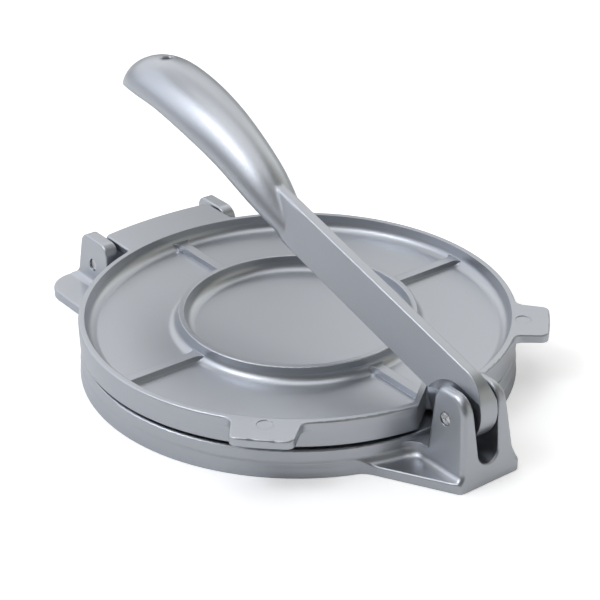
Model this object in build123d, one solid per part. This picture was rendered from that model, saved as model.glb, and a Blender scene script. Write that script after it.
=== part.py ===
from build123d import *
import os
from math import cos, hypot, radians, sin, tan

# Tortilla press in cast aluminium: a base plate, a top plate hinged on two short pins, and a lever
# between two ears, which presses the top plate down.
# Frame: millimetres. The origin is the centre of the round base on its underside. X runs from the
# hinge to the lever's ears, Y along the pins, Z up. The plates are closed and the lever is raised.

# ---- plates ----
base_radius = 102.0             # base plate, at its underside
rim_step = 0.5                  # top plate's rim inside the base's
base_height = 13.25
top_height = 12.1
plate_gap = 2.15                # between the pressing faces, closed
draft = 5.5                     # degrees, outer walls of the base plate
top_draft = 1.5                 # degrees, outer wall of the top plate
edge_round = 0.9                # outer edges of the castings

# ---- pan of the top plate ----
rim_land = 2.9
pan_depth = 7.6
pan_draft = 8.0                 # degrees
pan_fillet = 5.0
land_round = 0.5
ring_inner_radius = 52.8
ring_land = 2.7                 # width of the ring's top
ring_drop = 0.6                 # ring top below the rim top
ring_fillet = 4.5               # outside the ring
rib_width = 4.6                 # at its top
rib_height = 2.6
rib_draft = 14.0                # degrees
rib_flare = 4.0                 # plan radius where a rib meets the ring and the rim
rib_count = 4

# ---- notch of the top plate under the lever ----
notch_depth = 10.9              # from the rim to the apex
notch_half_angle = 53.5         # degrees, from the X axis to each flank
notch_land = 2.5                # wall between the notch and the pan

# ---- lift tabs and tongue of the top plate ----
flange_thickness = 4.0
tab_angle = 45.0                # degrees from X, one on each side
tab_reach = 14.5                # beyond the rim
tab_tip_half_width = 13.4
tab_root_half_width = 16.0
tab_corner = 3.5
tab_blend = 5.0                 # plan radius at the rim
mark_radius = 3.65              # ejector mark on each tab
mark_offset = 2.3               # its centre, beyond the rim
mark_depth = 0.3
tongue_half_width = 31.0
tongue_overhang = 4.5           # rear edge behind the pin axis, at the middle
tongue_bow = 2.8                # rear edge bows forward by this at its ends
tongue_corner = 2.5
tongue_blend = 3.0              # plan radius at the rim

# ---- hinge at the back ----
hinge_reach = 14.5              # pin axis behind the base's wall
hinge_pin_radius = 3.2
hinge_pin_clearance = 0.06      # radial, in the bosses
hinge_pin_hold = 13.0           # length of pin inside each boss
hinge_bore_spare = 0.5          # bore beyond the pin's end
hinge_pin_recess = 0.9          # pin end below the ear's outer face
boss_radius = 6.3
boss_width = 15.0
boss_root = 9.0                 # boss in front of the pin's axis, under the tongue
boss_crest = 2.4                # boss behind the pin's axis, under the tongue
ear_side_gap = 1.2              # tongue to ear
hinge_ear_thickness = 6.8       # at its top
hinge_ear_half_length = 11.4    # at its top
hinge_ear_rise = 0.3            # above the rim
hinge_ear_front_round = 6.0
hinge_ear_back_round = 5.0

# ---- lever's ears at the front ----
pivot_reach = 14.6              # pin axis in front of the base's wall
pivot_rise = 0.8                # above the rim
lever_pin_radius = 3.15
lever_pin_clearance = 0.06      # radial, in the lever
lever_pin_recess = 0.4          # pin end below the ear's outer face
lever_ear_top = 12.8            # above the pivot
lever_ear_back = 8.2            # behind the pivot, at the top
lever_ear_front = 10.2          # in front of the pivot, at the top
lever_ear_half_width = 11.5     # outer faces, at the top
lever_ear_front_lean = 7.5      # degrees, front face
lever_ear_back_lean = 2.5       # degrees, back face
lever_ear_back_round = 6.5
lever_ear_front_round = 9.0
lever_ear_edge_round = 2.5      # outer front edges
slot_half_width = 5.6           # at its round bottom
slot_drop = 19.6                # bottom of the slot below the pivot
slot_draft = 3.5                # degrees, each wall
slot_reach = 7.0                # slot behind the ears' back face

# ---- feet of the base ----
foot_thickness = 4.5
front_foot_half_width = 16.2    # at its front edge
front_foot_flare = 29.5         # degrees, each side from the X axis
front_foot_corner = 3.5
rear_foot_half_width = 60.0
rear_foot_margin = 16.5         # rear edge behind the hinge's axis
rear_foot_corner = 14.5
foot_blend = 14.0               # plan radius where a foot leaves the disc
web_height = 11.0               # webs between the disc and the ears
web_blend = 7.0                 # plan radius where a web leaves the disc
root_fillet = 4.2               # between the walls and the feet

# ---- underside of the base ----
base_floor = 4.5
base_rim_width = 4.5
base_ring_radius = 54.0
base_ring_width = 4.0
base_rib_width = 4.0

# ---- lever ----
lever_rest_angle = 15.6         # degrees above the horizontal
bar_top = 18.7                  # above the pivot, across the bar
bar_bottom = 1.2                # above the pivot, across the bar
bar_length = 141.0
bar_rise_start = 119.0          # where the underside starts to rise towards the grip
bar_rise = 6.0                  # of the underside at the bar's end
bar_top_half_width = 2.35
bar_side_draft = 17.5           # degrees
bar_edge_round = 0.6
knuckle_radius = 16.7
knuckle_setback = 4.4           # centre of the round end behind the pivot
knuckle_rise = 2.0              # centre of the round end above the pivot
knuckle_half_width = 4.6
recess_radius = 18.4            # bar thinned within this radius of the pivot, to pass the ears
recess_fillet = 6.0
grip_wall = 3.5
hang_hole_distance = 235.5
hang_hole_height = 28.7
hang_hole_radius = 2.85
hang_hole_tilt = 20.5           # degrees
grip_tip = (261.4, -1.7)        # distance from the pivot, height above its axis

# Sections of the grip: distance from the pivot, crown, rim and half width.
grip_sections = [
    (120.0, 8.51, 1.57, 5.56),
    (126.0, 11.55, 3.05, 7.50),
    (133.0, 15.12, 4.99, 9.35),
    (140.0, 18.84, 7.00, 10.90),
    (148.0, 22.55, 9.18, 12.26),
    (157.0, 25.62, 11.31, 13.22),
    (170.0, 28.81, 13.78, 14.32),
    (187.0, 31.40, 15.51, 15.89),
    (206.0, 32.29, 15.91, 17.00),
    (222.0, 31.40, 14.55, 17.13),
    (234.0, 29.15, 12.00, 16.67),
    (243.0, 25.30, 9.49, 15.35),
    (250.0, 20.47, 6.60, 13.13),
    (255.0, 15.38, 3.66, 10.41),
    (258.5, 10.04, 1.01, 7.30),
    (260.5, 5.00, -0.77, 4.21),
]
hollow_sections = (3, 13)       # first and last grip section with a full hollow

# ---- places worked out from the sizes ----
lean = tan(radians(draft))
pan_slope = tan(radians(pan_draft))
top_radius = base_radius - rim_step
hinge_distance = base_radius + hinge_reach
pivot_distance = base_radius + pivot_reach
rear_foot_reach = hinge_distance + rear_foot_margin
top_bottom = base_height + plate_gap
rim_top = top_bottom + top_height
hinge_height = base_height + plate_gap / 2
pivot_height = rim_top + pivot_rise
pan_floor = rim_top - pan_depth
ring_top = rim_top - ring_drop
ring_outer_radius = ring_inner_radius + ring_land
rim_inner_radius = top_radius - rim_land
ring_foot = ring_outer_radius + (pan_depth - ring_drop) * pan_slope
rim_foot = rim_inner_radius - pan_depth * pan_slope
ear_top = pivot_height + lever_ear_top
hinge_ear_top = rim_top + hinge_ear_rise
hinge_ear_inner = tongue_half_width + ear_side_gap
front_edge = pivot_distance + lever_ear_front + ear_top * tan(radians(lever_ear_front_lean))
big = 400.0                     # reaches past everything


def lift(shape, height):
    return Pos(0, 0, height) * shape


def polygon(*points):
    return make_face(Polyline(*points, close=True))


def across(x):
    """Plane across the X axis at x, with Y to the right and Z up."""
    return Plane((x, 0, 0), x_dir=(0, 1, 0), z_dir=(1, 0, 0))


def side_slab(outline, half_width):
    """Extrude an outline given in X and Z to both sides of Y = 0."""
    return extrude(Plane.XZ * outline, half_width, both=True)


def cross_rod(radius, x, z, y_low, y_high):
    return Pos(x, (y_low + y_high) / 2, z) * Rot(90, 0, 0) * Cylinder(radius, y_high - y_low)


def cone_disc(radius, height, lean):
    """Disc standing on Z = 0, whose wall leans inwards."""
    return Cone(radius, radius - height * tan(radians(lean)), height, align=(Align.CENTER, Align.CENTER, Align.MIN))


def leaning_block(low, high, height, leans):
    """Upright block with leaning faces. The corners are those of its top, the leans in degrees."""
    back, front, right, left = [height * tan(radians(lean)) for lean in leans]
    top = polygon(low, (high[0], low[1]), high, (low[0], high[1]))
    foot = polygon((low[0] - back, low[1] - right), (high[0] + front, low[1] - right),
                   (high[0] + front, high[1] + left), (low[0] - back, high[1] + left))
    return loft([foot, lift(top, height)])


def round_top(block, height, x_split, back_round, front_round):
    """Round the two top edges of a block that run along Y."""
    tops = [e for e in block.edges() if abs(e.center().Z - height) < 0.01 and e.bounding_box().size.X < 0.01]
    block = fillet([e for e in tops if e.center().X < x_split], back_round)
    tops = [e for e in block.edges() if abs(e.center().Z - height) < 0.01 and e.bounding_box().size.X < 0.01]
    return fillet([e for e in tops if e.center().X > x_split + 1.0], front_round)


# ---------------------------------------------------------------- base plate


def at_radius(outline, radius):
    """Vertices of an outline where an arm meets the disc."""
    return [v for v in outline.vertices() if abs(hypot(v.X, v.Y) - radius) < 0.01]


def feet_plan(radius):
    """Plan of the disc with the two flat feet that carry the ears."""
    inside = 0.8 * base_radius
    wide = front_foot_half_width + (front_edge - inside) * tan(radians(front_foot_flare))
    front = polygon((inside, -wide), (front_edge, -front_foot_half_width),
                    (front_edge, front_foot_half_width), (inside, wide))
    front = fillet(front.vertices().group_by(Axis.X)[-1], front_foot_corner)
    length = rear_foot_reach - 0.5 * base_radius
    rear = Pos(-rear_foot_reach + length / 2, 0) * Rectangle(length, 2 * rear_foot_half_width)
    rear = fillet(rear.vertices().group_by(Axis.X)[0], rear_foot_corner)
    plan = Circle(radius) + front + rear
    return fillet(at_radius(plan, radius), foot_blend)


def walls_plan():
    """Plan, at Z = 0, of the walls: the disc and the arms that carry the ears."""
    front_half = lever_ear_half_width + ear_top * lean
    front_length = front_edge + foot_blend
    plan = Circle(base_radius) + Pos(front_length / 2, 0) * Rectangle(front_length, 2 * front_half)
    inner = hinge_ear_inner - web_height * lean
    outer = hinge_ear_inner + hinge_ear_thickness + hinge_ear_top * lean
    back = hinge_distance + hinge_ear_half_length + hinge_ear_top * lean
    for side in (-1, 1):
        plan += Pos(-back / 2, side * (inner + outer) / 2) * Rectangle(back, outer - inner)
    return fillet(at_radius(plan, base_radius), web_blend)


def hinge_ear(side):
    """One hinge ear. Its inner face is upright, the others lean."""
    outer = hinge_ear_inner + hinge_ear_thickness
    low, high = (hinge_ear_inner, outer) if side > 0 else (-outer, -hinge_ear_inner)
    sides = (0, draft) if side > 0 else (draft, 0)
    block = leaning_block((-hinge_distance - hinge_ear_half_length, low),
                          (-hinge_distance + hinge_ear_half_length, high),
                          hinge_ear_top, (draft, draft) + sides)
    return round_top(block, hinge_ear_top, -hinge_distance, hinge_ear_back_round, hinge_ear_front_round)


def lever_ears():
    """The block of the lever's ears, before the slot is cut."""
    block = leaning_block((pivot_distance - lever_ear_back, -lever_ear_half_width),
                          (pivot_distance + lever_ear_front, lever_ear_half_width), ear_top,
                          (lever_ear_back_lean, lever_ear_front_lean, draft, draft))
    return round_top(block, ear_top, pivot_distance, lever_ear_back_round, lever_ear_front_round)


def lever_slot():
    """Slot between the lever's ears, with a round bottom and leaning walls."""
    middle = pivot_height - slot_drop + slot_half_width
    start = pivot_distance - lever_ear_back - slot_reach
    side, low = slot_half_width * cos(radians(slot_draft)), middle - slot_half_width * sin(radians(slot_draft))
    wide = side + (big / 8 - low) * tan(radians(slot_draft))
    section = polygon((-side, low), (side, low), (wide, big / 8), (-wide, big / 8))
    section += Pos(0, middle) * Circle(slot_half_width)
    return extrude(across(start) * section, big / 8)


def base_hollow():
    """What is hollow under the disc, between the rim, a ring and ribs through the centre."""
    depth = base_height - base_floor
    hollow = cone_disc(base_radius - base_rim_width, depth, draft)
    ring = Circle(base_ring_radius + base_ring_width) - Circle(base_ring_radius)
    keep = extrude(ring, depth)
    for i in range(rib_count):
        rib = Pos(base_radius / 2, 0, depth / 2) * Box(base_radius, base_rib_width, depth)
        keep += Rot(0, 0, 360 / rib_count * i) * rib
    return hollow - keep


def in_front(low, high):
    """What lies in front of the leaning front face."""
    back = high * tan(radians(lever_ear_front_lean))
    return side_slab(polygon((front_edge, low), (front_edge - back, high), (big, high), (big, low)), big)


def at_level(shape, height):
    """Level edges of a shape at a height."""
    return [e for e in shape.edges() if abs(e.center().Z - height) < 0.01 and e.bounding_box().size.Z < 0.01]


def upright_front_edges(body, inside):
    """Long upright edges of the front face, beside the slot or outside the ears."""
    face = body.faces().filter_by(GeomType.PLANE).sort_by(Axis.X)[-1]
    tall = [e for e in face.edges() if e.bounding_box().size.Z > lever_ear_top]
    return [e for e in tall if (abs(e.center().Y) < (slot_half_width + lever_ear_half_width) / 2) == inside]


def round_feet(body):
    """Round the outer edges of the ears and of the feet."""
    body = fillet(upright_front_edges(body, False), lever_ear_edge_round)
    body = fillet(upright_front_edges(body, True), edge_round)
    flared = [e for e in at_level(body, foot_thickness) if e.center().X > base_radius
              and e.bounding_box().size.Y > lever_ear_half_width]
    body = fillet(flared, edge_round)
    rear = [e for e in at_level(body, foot_thickness) if abs(e.center().X + rear_foot_reach) < 0.01]
    body = fillet([e for e in rear if abs(e.center().Y) < 1], edge_round)
    tops = [e for e in at_level(body, hinge_ear_top) if e.bounding_box().size.Y < 0.01]
    return fillet(tops, edge_round)


def make_base_plate():
    walls = extrude(walls_plan(), web_height, taper=draft)
    body = walls + extrude(Rectangle(big, big), foot_thickness)
    inside = [e for e in at_level(body, foot_thickness) if abs(e.center().X) + abs(e.center().Y) < big / 2]
    body = fillet(inside, root_fillet)
    disc = cone_disc(base_radius, base_height, draft)
    disc = fillet(disc.edges().group_by(Axis.Z)[-1], edge_round)
    body += disc + lever_ears() + hinge_ear(1) + hinge_ear(-1)
    feet = feet_plan(base_radius - foot_thickness * lean) - Circle(base_radius - base_rim_width)
    body &= disc + extrude(feet, big)
    body -= in_front(0, big)
    body -= lever_slot()
    body = round_feet(body)
    body -= base_hollow()
    body -= cross_rod(lever_pin_radius, pivot_distance, pivot_height, -big / 8, big / 8)
    body -= cross_rod(hinge_pin_radius, -hinge_distance, hinge_height, -big / 4, big / 4)
    return body


# ---------------------------------------------------------------- top plate


def tab_plan(side):
    """Plan of a lift tab, wider at the rim, with an outer edge concentric with the plate."""
    reach = top_radius + tab_reach
    tab = polygon((0.9 * top_radius, -tab_root_half_width), (reach, -tab_tip_half_width),
                  (reach, tab_tip_half_width), (0.9 * top_radius, tab_root_half_width))
    tab &= Circle(reach)
    tab = fillet([v for v in tab.vertices() if v.X > top_radius], tab_corner)
    return Rot(0, 0, side * tab_angle) * tab


def tongue_plan():
    """Plan of the tongue, whose rear edge is bowed."""
    rear = hinge_distance + tongue_overhang
    side = rear - tongue_bow
    edge = ThreePointArc((-side, -tongue_half_width), (-rear, 0), (-side, tongue_half_width))
    sides = Polyline((-side, tongue_half_width), (0, tongue_half_width), (0, -tongue_half_width),
                     (-side, -tongue_half_width))
    plan = make_face([edge, sides])
    return fillet([v for v in plan.vertices() if v.X < -top_radius], tongue_corner)


def flange_plan():
    """Plan of the disc with its two lift tabs and the tongue."""
    plan = Circle(top_radius) + tab_plan(1) + tab_plan(-1) + tongue_plan()
    tips = [v for v in at_radius(plan, top_radius) if v.X > 0]
    plan = fillet(tips, tab_blend)
    return fillet([v for v in at_radius(plan, top_radius) if abs(abs(v.Y) - tongue_half_width) < 0.01], tongue_blend)


def notch_plan(margin):
    """Plan of the notch, grown by a margin."""
    apex = top_radius - notch_depth - margin / sin(radians(notch_half_angle))
    reach = 2 * notch_depth + 10 * margin
    half = reach * tan(radians(notch_half_angle))
    return polygon((apex, 0), (apex + reach, -half), (apex + reach, half))


def corners_at(outline, radius):
    """Corners of a half section at a radius from the axis."""
    return [v for v in outline.vertices() if abs(v.X - radius) < 0.01]


def pan_profile():
    """Half section of the pan inside the rim and on both sides of the ring, as cut out."""
    inner_foot = ring_inner_radius - (pan_depth - ring_drop) * pan_slope
    over = rim_top + pan_depth
    outline = polygon((0, pan_floor), (inner_foot, pan_floor), (ring_inner_radius, ring_top),
                      (ring_outer_radius, ring_top), (ring_foot, pan_floor), (rim_foot, pan_floor),
                      (rim_inner_radius, rim_top), (rim_inner_radius, over), (0, over))
    outline = fillet(corners_at(outline, ring_foot), ring_fillet)
    outline = fillet(corners_at(outline, inner_foot) + corners_at(outline, rim_foot), pan_fillet)
    return fillet([v for v in outline.vertices() if abs(v.Y - ring_top) < 0.01], land_round)


def ribs():
    """The four ribs on the pan's floor, from the ring to the rim and to the notch's wall."""
    width = rib_width + 2 * rib_height * tan(radians(rib_draft))
    length = rim_inner_radius
    strips = Circle(ring_foot) + (Circle(length + rim_land / 2) - Circle(rim_foot))
    for i in range(rib_count):
        strips += Rot(0, 0, 360 / rib_count * i) * Pos(length / 2, 0) * Rectangle(length, width)
    strips = fillet(at_radius(strips, ring_foot) + at_radius(strips, rim_foot), rib_flare)
    strips -= Circle(ring_inner_radius)
    return lift(extrude(strips, rib_height, taper=rib_draft), pan_floor)


def boss(side):
    """Round boss for a hinge pin, under the tongue's end."""
    seat = rim_top - flange_thickness / 2
    crest = Line((-hinge_distance - boss_crest, seat), (-hinge_distance + boss_root, seat))
    outline = make_hull((Pos(-hinge_distance, hinge_height) * Circle(boss_radius)).edges() + crest.edges())
    block = extrude(Plane.XZ * outline, boss_width)
    middle = side * (tongue_half_width - boss_width / 2)
    return Pos(0, middle + boss_width / 2, 0) * block


def make_top_plate():
    slope = tan(radians(top_draft))
    drop = top_height - flange_thickness
    low = Cone(top_radius - drop * slope, top_radius, drop, align=(Align.CENTER, Align.CENTER, Align.MIN))
    body = lift(extrude(flange_plan(), flange_thickness), drop)
    body = fillet(body.edges().group_by(Axis.Z)[-1], edge_round)
    body = lift(body + low, top_bottom)
    for side in (-1, 1):
        body += boss(side)
    pan = revolve(Plane.XZ * pan_profile(), Axis.Z)
    wall = lift(extrude(notch_plan(notch_land), big / 8), pan_floor - 1)
    body -= pan - wall
    notch = extrude(notch_plan(0), big / 8)
    body += ribs() - notch
    body -= notch
    for side in (-1, 1):
        centre = Rot(0, 0, side * tab_angle) * Pos(top_radius + mark_offset, 0, rim_top)
        body -= centre * Cylinder(mark_radius, 2 * mark_depth)
    hold = hinge_pin_hold + hinge_bore_spare
    for side in (-1, 1):
        low_y, high_y = sorted((side * (tongue_half_width - hold), side * (tongue_half_width + ear_side_gap)))
        body -= cross_rod(hinge_pin_radius + hinge_pin_clearance, -hinge_distance, hinge_height, low_y, high_y)
    return body


# ---------------------------------------------------------------- lever


def bar_outline():
    """Side view of the bar: flat on top, its underside rising towards the grip."""
    end = bar_length + 0.01
    rise = TangentArc((-bar_rise_start, bar_bottom), (-end, bar_bottom + bar_rise), tangent=(-1, 0))
    rest = Polyline((-end, bar_bottom + bar_rise), (-end, bar_top), (-knuckle_setback, bar_top),
                    (-knuckle_setback, bar_bottom), (-bar_rise_start, bar_bottom))
    return make_face([rise, rest])


def bar_section(bottom):
    """Section of the bar, narrower at the top, down to a height."""
    half = bar_top_half_width + (bar_top - bottom) * tan(radians(bar_side_draft))
    section = polygon((-half, bottom), (half, bottom), (bar_top_half_width, bar_top), (-bar_top_half_width, bar_top))
    return fillet(section.vertices().group_by(Axis.Y)[-1], bar_edge_round)


def pass_ears():
    """What is cut from one side of the bar round the pivot."""
    reach = 4 * knuckle_half_width
    outline = polygon((0, knuckle_half_width), (recess_radius, knuckle_half_width), (recess_radius, reach), (0, reach))
    corner = [v for v in outline.vertices() if v.X > 1 and v.Y < knuckle_half_width + 0.1]
    return revolve(fillet(corner, recess_fillet), Axis.Y)


def arch(half_width, rise, rim):
    """Half an ellipse above the rim."""
    return EllipticalCenterArc((0, rim), half_width, rise, arc_size=180)


def grip_section(distance, crown, rim, half_width):
    outline = arch(half_width, crown - rim, rim)
    return across(-distance) * make_face([outline, Line((-half_width, rim), (half_width, rim))])


def hollow_section(distance, crown, rim, half_width, slope):
    """Arch inside the grip's wall, with straight sides below the rim."""
    half = half_width - grip_wall
    rise = crown - rim - grip_wall * hypot(1, slope)
    low = rim - 2 * grip_wall
    sides = Polyline((-half, rim), (-half, low), (half, low), (half, rim))
    return across(-distance) * make_face([arch(half, rise, rim), sides])


def grip_hollow():
    """What is hollow under the grip, growing from nothing behind the bar."""
    first, last = hollow_sections
    rows = grip_sections[first:last]
    sections = []
    for i, (distance, crown, rim, half_width) in enumerate(rows):
        before, after = grip_sections[first + i - 1], grip_sections[first + i + 1]
        slope = (after[1] - before[1]) / (after[0] - before[0])
        sections.append(hollow_section(distance, crown, rim, half_width, slope))
    return loft(sections)


def make_lever():
    """The lever along -X with its pivot at the origin, then turned to its rest angle."""
    bar = extrude(across(-bar_length) * bar_section(bar_bottom - 1), bar_length - knuckle_setback)
    bar &= side_slab(bar_outline(), big / 8)
    for side in (0, 180):
        bar -= Rot(side, 0, 0) * pass_ears()
    section = bar_section(knuckle_rise - knuckle_radius - 1)
    knuckle = extrude(across(-2 * knuckle_radius) * section, 4 * knuckle_radius)
    knuckle &= cross_rod(knuckle_radius, -knuckle_setback, knuckle_rise, -knuckle_half_width, knuckle_half_width)
    outside = [grip_section(*row) for row in grip_sections]
    tip = Vertex(-grip_tip[0], 0, grip_tip[1])
    grip = loft(outside + [tip])
    body = bar + knuckle + grip - grip_hollow()
    place = Pos(-hang_hole_distance, 0, hang_hole_height) * Rot(0, -hang_hole_tilt, 0)
    body -= place * Cylinder(hang_hole_radius, 6 * grip_wall)
    body -= cross_rod(lever_pin_radius + lever_pin_clearance, 0, 0, -big / 8, big / 8)
    return Pos(pivot_distance, 0, pivot_height) * Rot(0, lever_rest_angle, 0) * body


# ---------------------------------------------------------------- pins


def make_lever_pin():
    """Pin through both ears, its ends a little below their faces."""
    face = lever_ear_half_width + lever_ear_top * lean
    half = face - lever_pin_recess
    return cross_rod(lever_pin_radius, pivot_distance, pivot_height, -half, half)


def make_hinge_pin(side):
    """Pin from the ear's outer face into the tongue's boss."""
    face = hinge_ear_inner + hinge_ear_thickness + (hinge_ear_top - hinge_height) * lean
    ends = sorted((side * (face - hinge_pin_recess), side * (tongue_half_width - hinge_pin_hold)))
    return cross_rod(hinge_pin_radius, -hinge_distance, hinge_height, ends[0], ends[1])


nodes = {
    "base_plate": make_base_plate(),
    "top_plate": make_top_plate(),
    "lever": make_lever(),
    "lever_pin": make_lever_pin(),
    "hinge_pin_left": make_hinge_pin(-1),
    "hinge_pin_right": make_hinge_pin(1),
}

os.makedirs("parts", exist_ok=True)
for name, shape in nodes.items():
    shape.label = name
    export_step(shape, f"parts/{name}.step")
    print(name, round(shape.volume), "mm3")
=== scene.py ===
"""Tortilla press in satin cast aluminium: the scene for the part's picture and its visual model."""
from math import cos, radians, sin

import bpy
from mathutils import Matrix, Vector

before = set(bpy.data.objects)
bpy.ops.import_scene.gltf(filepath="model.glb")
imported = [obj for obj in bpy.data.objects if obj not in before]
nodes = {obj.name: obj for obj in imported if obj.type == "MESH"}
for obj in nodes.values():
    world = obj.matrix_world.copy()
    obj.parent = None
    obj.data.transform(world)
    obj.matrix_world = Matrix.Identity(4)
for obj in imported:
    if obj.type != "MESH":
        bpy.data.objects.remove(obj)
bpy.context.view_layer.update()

# ---------------------------------------------------------------- sizes, in metres, and levels

CAMERA_PLACE = Vector((0.5763, -0.4395, 0.4190))
CAMERA_AZIMUTH = 52.6            # degrees
CAMERA_ELEVATION = 28.19
CAMERA_ROLL = 0.19
CAMERA_LENS = 106.6              # mm, on a sensor 36 mm wide
SENSOR_WIDTH = 36.0

FLOOR_SIZE = 2.4
FLOOR_DROP = 0.0001              # floor below the feet
FLOOR_WHITE = 0.95
FLOOR_LIFT = 0.35                # light that the floor adds towards the camera alone
FLOOR_NEAR = 0.5                 # radius beyond which the floor's lift grows

CASTING_DARK = (0.40, 0.42, 0.45)
CASTING_LIGHT = (0.57, 0.59, 0.63)
CASTING_ROUGHNESS = 0.38
ROUGHNESS_CHANGE = 0.06          # over the clouds
CLOUD_SCALE = 30.0
GRAIN_SCALE = 1100.0
CLOUD_TONE = 0.10                # share of the way from dark to light
GRAIN_TONE = 0.10
GRAIN_STRENGTH = 0.05
GRAIN_HEIGHT = 0.0003
EDGE_SOFTNESS = 0.0004
EDGE_SAMPLES = 6

# The lever's bar runs into its grip over a soft crease.
LEVER_PIVOT = (0.1166, 0.0283)   # X and Z
LEVER_ANGLE = 15.6               # degrees, at rest
CREASE_START = 0.116             # from the pivot
CREASE_FULL = 0.126
CREASE_SOFTNESS = 0.0026

PIN_COLOUR = (0.66, 0.66, 0.67)
# The pins' near-black rim colour is painted shade of the gap between each pin's end and its bore.
PIN_PAINTED_SHADE_COLOUR = (0.10, 0.10, 0.11)
PIN_PAINTED_SHADE_RADIUS = 0.0027                 # radius where the painted shade round a pin's end starts
PIN_PAINTED_SHADE_FADE = 0.00025           # width over which the painted shade darkens
HINGE_AXIS = (-0.1165, 0.014325)
DENT_SCALE = 240.0
LEVER_PIN_DENTS = 0.0030         # depth of the hammered end
LEVER_PIN_ROUGHNESS = 0.26
HINGE_PIN_DENTS = 0.0002
HINGE_PIN_ROUGHNESS = 0.40

WORLD_STRENGTH = 0.14
LAMP_DISTANCE = 1.8
NEUTRAL = (1.0, 1.0, 1.0)
COOL = (0.88, 0.92, 1.0)
WARM = (1.0, 0.99, 0.86)

# Lamps: turn from the camera towards its left, height in degrees, width in metres, power and colour.
LAMPS = [
    (60, 48, 1.4, 6.2, NEUTRAL),
    (64, 54, 0.5, 4.6, COOL),
    (78, 38, 1.4, 2.2, COOL),
    (100, 30, 1.4, 5.4, COOL),
    (110, 8, 1.4, 1.6, COOL),
    (135, 12, 1.4, 1.2, COOL),
    (150, 30, 1.4, 5.2, NEUTRAL),
    (172, 52, 1.4, 2.5, NEUTRAL),
    (205, 35, 1.4, 4.2, NEUTRAL),
    (215, 12, 1.4, 1.2, NEUTRAL),
    (235, 35, 1.4, 2.4, WARM),
    (250, 12, 1.4, 0.8, WARM),
    (290, 12, 1.4, 2.8, WARM),
    (0, 89, 1.4, 7.3, NEUTRAL),
]


# ---------------------------------------------------------------- shader maths


class Sock:
    """A socket of a material, which adds a Math node for each operation on it."""

    def __init__(self, shader, socket):
        self.shader = shader
        self.socket = socket

    def _math(self, operation, first, second=None, clamp=False):
        values = {0: first} if second is None else {0: first, 1: second}
        return self.shader.node("ShaderNodeMath", values, operation=operation, use_clamp=clamp)

    def __add__(self, other):
        return self._math("ADD", self, other)

    def __sub__(self, other):
        return self._math("SUBTRACT", self, other)

    def __rsub__(self, other):
        return self._math("SUBTRACT", other, self)

    def __mul__(self, other):
        return self._math("MULTIPLY", self, other)

    def __truediv__(self, other):
        return self._math("DIVIDE", self, other)

    __radd__ = __add__
    __rmul__ = __mul__

    def clamped(self):
        return self._math("ADD", self, 0.0, clamp=True)


class Shader:
    """The node tree of one material."""

    def __init__(self, name):
        self.material = bpy.data.materials.new(name)
        self.material.use_nodes = True
        self.tree = self.material.node_tree
        self.surface = self.tree.nodes["Principled BSDF"]

    def node(self, kind, inputs=None, output=0, **settings):
        """Add a node: its settings first, then the values or links of its sockets."""
        made = self.tree.nodes.new(kind)
        for key, value in settings.items():
            setattr(made, key, value)
        for key, value in (inputs or {}).items():
            self.feed(made.inputs[key], value)
        return Sock(self, made.outputs[output])

    def feed(self, socket, value):
        if isinstance(value, Sock):
            self.tree.links.new(value.socket, socket)
        else:
            socket.default_value = value

    def set(self, **sockets):
        """Feed the surface's own sockets, named with underscores for spaces."""
        for key, value in sockets.items():
            self.feed(self.surface.inputs[key.replace("_", " ")], value)


def across_pins(s, place, axis):
    """X and Z of a place, from an axis that runs along Y."""
    x = s.node("ShaderNodeSeparateXYZ", {"Vector": place}, output="X")
    z = s.node("ShaderNodeSeparateXYZ", {"Vector": place}, output="Z")
    return x - axis[0], z - axis[1]


def crease_radius(s, place):
    """Radius of the soft edges on the lever: wider where the bar runs into the grip."""
    x, z = across_pins(s, place, LEVER_PIVOT)
    along = z * sin(radians(LEVER_ANGLE)) - x * cos(radians(LEVER_ANGLE))
    share = ((along - CREASE_START) / (CREASE_FULL - CREASE_START)).clamped()
    return share * (CREASE_SOFTNESS - EDGE_SOFTNESS) + EDGE_SOFTNESS


def two_tone(s, share, first, second):
    """Mix of two colours."""
    values = {0: share, 6: (*first, 1.0), 7: (*second, 1.0)}
    return s.node("ShaderNodeMix", values, output=2, data_type="RGBA")


def satin_casting(name, radius=None):
    """Satin cast aluminium: a fine blasted grain, faint clouds and softly rounded edges."""
    s = Shader(name)
    place = s.node("ShaderNodeTexCoord", output="Object")
    cloud = s.node("ShaderNodeTexNoise", {"Vector": place, "Scale": CLOUD_SCALE, "Detail": 3.0})
    grain = s.node("ShaderNodeTexNoise", {"Vector": place, "Scale": GRAIN_SCALE, "Detail": 2.0})
    shade = (cloud - 0.5) * CLOUD_TONE + (grain - 0.5) * GRAIN_TONE + 0.5
    colour = two_tone(s, shade.clamped(), CASTING_DARK, CASTING_LIGHT)
    reach = radius(s, place) if radius else EDGE_SOFTNESS
    soft = s.node("ShaderNodeBevel", {"Radius": reach}, samples=EDGE_SAMPLES)
    bumps = s.node("ShaderNodeBump", {"Height": grain, "Strength": GRAIN_STRENGTH,
                                      "Distance": GRAIN_HEIGHT, "Normal": soft})
    roughness = CASTING_ROUGHNESS + (cloud - 0.5) * ROUGHNESS_CHANGE
    s.set(Base_Color=colour, Metallic=1.0, Roughness=roughness, Normal=bumps)
    return s.material


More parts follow.
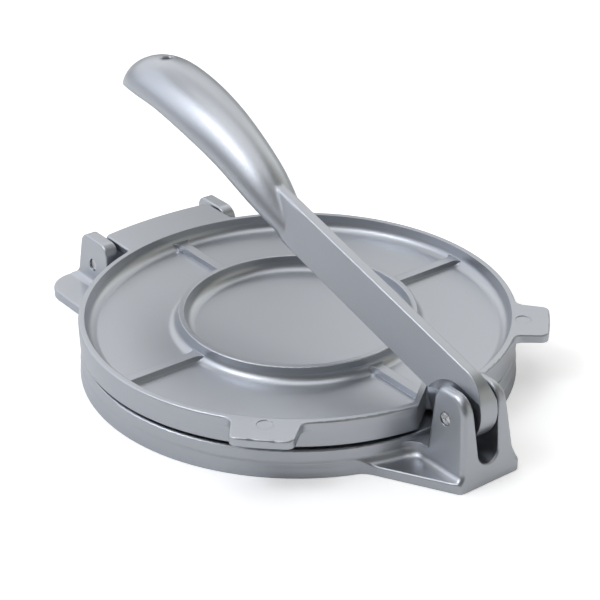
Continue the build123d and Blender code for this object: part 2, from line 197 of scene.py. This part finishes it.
def pin_steel(name, axis, dent_depth, roughness):
    """Steel pin: its end is hammered to a depth, with a dark rim in the bore that is painted shade of
    the gap round the pin.
    """
    s = Shader(name)
    place = s.node("ShaderNodeTexCoord", output="Object")
    x, z = across_pins(s, place, axis)
    reach = s.node("ShaderNodeMath", {0: x * x + z * z}, operation="SQRT")
    # Painted shade: darker beyond the rim radius, in place of the shadow in the gap round the pin.
    painted_rim_shade = ((reach - PIN_PAINTED_SHADE_RADIUS) / PIN_PAINTED_SHADE_FADE).clamped()
    dents = s.node("ShaderNodeTexNoise", {"Vector": place, "Scale": DENT_SCALE, "Detail": 0.0})
    bumps = s.node("ShaderNodeBump", {"Height": dents, "Strength": 1.0, "Distance": dent_depth})
    s.set(Base_Color=two_tone(s, painted_rim_shade, PIN_COLOUR, PIN_PAINTED_SHADE_COLOUR), Metallic=1.0,
          Roughness=roughness, Normal=bumps)
    return s.material


casting = satin_casting("casting")
finishes = {
    "lever": satin_casting("lever_casting", crease_radius),
    "lever_pin": pin_steel("lever_pin_steel", LEVER_PIVOT, LEVER_PIN_DENTS, LEVER_PIN_ROUGHNESS),
    "hinge_pin_left": pin_steel("hinge_pin_steel", HINGE_AXIS, HINGE_PIN_DENTS, HINGE_PIN_ROUGHNESS),
}
finishes["hinge_pin_right"] = finishes["hinge_pin_left"]

for name, obj in nodes.items():
    obj.data.materials.clear()
    obj.data.materials.append(finishes.get(name, casting))


# ---------------------------------------------------------------- floor, light and camera


def make_floor():
    """Pale floor that keeps the shadow and stays white to the camera."""
    bpy.ops.object.select_all(action="DESELECT")
    bpy.ops.mesh.primitive_plane_add(size=FLOOR_SIZE, location=(0, 0, -FLOOR_DROP))
    floor = bpy.context.object
    floor.name = "floor"
    s = Shader("floor_white")
    seen = s.node("ShaderNodeLightPath")
    reach = s.node("ShaderNodeVectorMath", {0: s.node("ShaderNodeTexCoord", output="Object")},
                   output="Value", operation="LENGTH")
    lift = (reach - FLOOR_NEAR).clamped() + FLOOR_LIFT
    s.set(Base_Color=(FLOOR_WHITE, FLOOR_WHITE, FLOOR_WHITE, 1.0), Roughness=1.0, Specular_IOR_Level=0.0,
          Emission_Color=(1.0, 1.0, 1.0, 1.0), Emission_Strength=seen * lift)
    floor.data.materials.append(s.material)


def make_world():
    """Plain world: dim for the light, white where the camera looks past the floor."""
    world = bpy.data.worlds.new("studio")
    bpy.context.scene.world = world
    world.use_nodes = True
    tree = world.node_tree
    seen = tree.nodes.new("ShaderNodeLightPath")
    level = tree.nodes.new("ShaderNodeMath")
    level.operation = "MAXIMUM"
    level.inputs[1].default_value = WORLD_STRENGTH
    tree.links.new(seen.outputs["Is Camera Ray"], level.inputs[0])
    background = tree.nodes["Background"]
    background.inputs["Color"].default_value = (1.0, 1.0, 1.0, 1.0)
    tree.links.new(level.outputs[0], background.inputs["Strength"])


def make_lamps():
    """Soft square lamps round the press and one above it, all turned to its origin."""
    for turn, height, size, power, colour in LAMPS:
        around, up = radians(CAMERA_AZIMUTH - 90.0 - turn), radians(height)
        place = LAMP_DISTANCE * Vector((cos(up) * cos(around), cos(up) * sin(around), sin(up)))
        data = bpy.data.lights.new(f"lamp_{turn}_{height}", "AREA")
        data.size = size
        data.energy = power
        data.color = colour
        lamp = bpy.data.objects.new(data.name, data)
        bpy.context.scene.collection.objects.link(lamp)
        lamp.location = place
        lamp.rotation_euler = (-place).to_track_quat("-Z", "Y").to_euler()


def make_camera():
    """Camera at the photograph's place and angle."""
    data = bpy.data.cameras.new("camera")
    data.lens = CAMERA_LENS
    data.sensor_width = SENSOR_WIDTH
    camera = bpy.data.objects.new("camera", data)
    bpy.context.scene.collection.objects.link(camera)
    turn = (Matrix.Rotation(radians(CAMERA_AZIMUTH), 4, "Z")
            @ Matrix.Rotation(radians(90.0 - CAMERA_ELEVATION), 4, "X")
            @ Matrix.Rotation(radians(-CAMERA_ROLL), 4, "Z"))
    camera.matrix_world = Matrix.Translation(CAMERA_PLACE) @ turn
    bpy.context.scene.camera = camera


make_floor()
make_world()
make_lamps()
make_camera()
bpy.context.scene.view_settings.view_transform = "Standard"
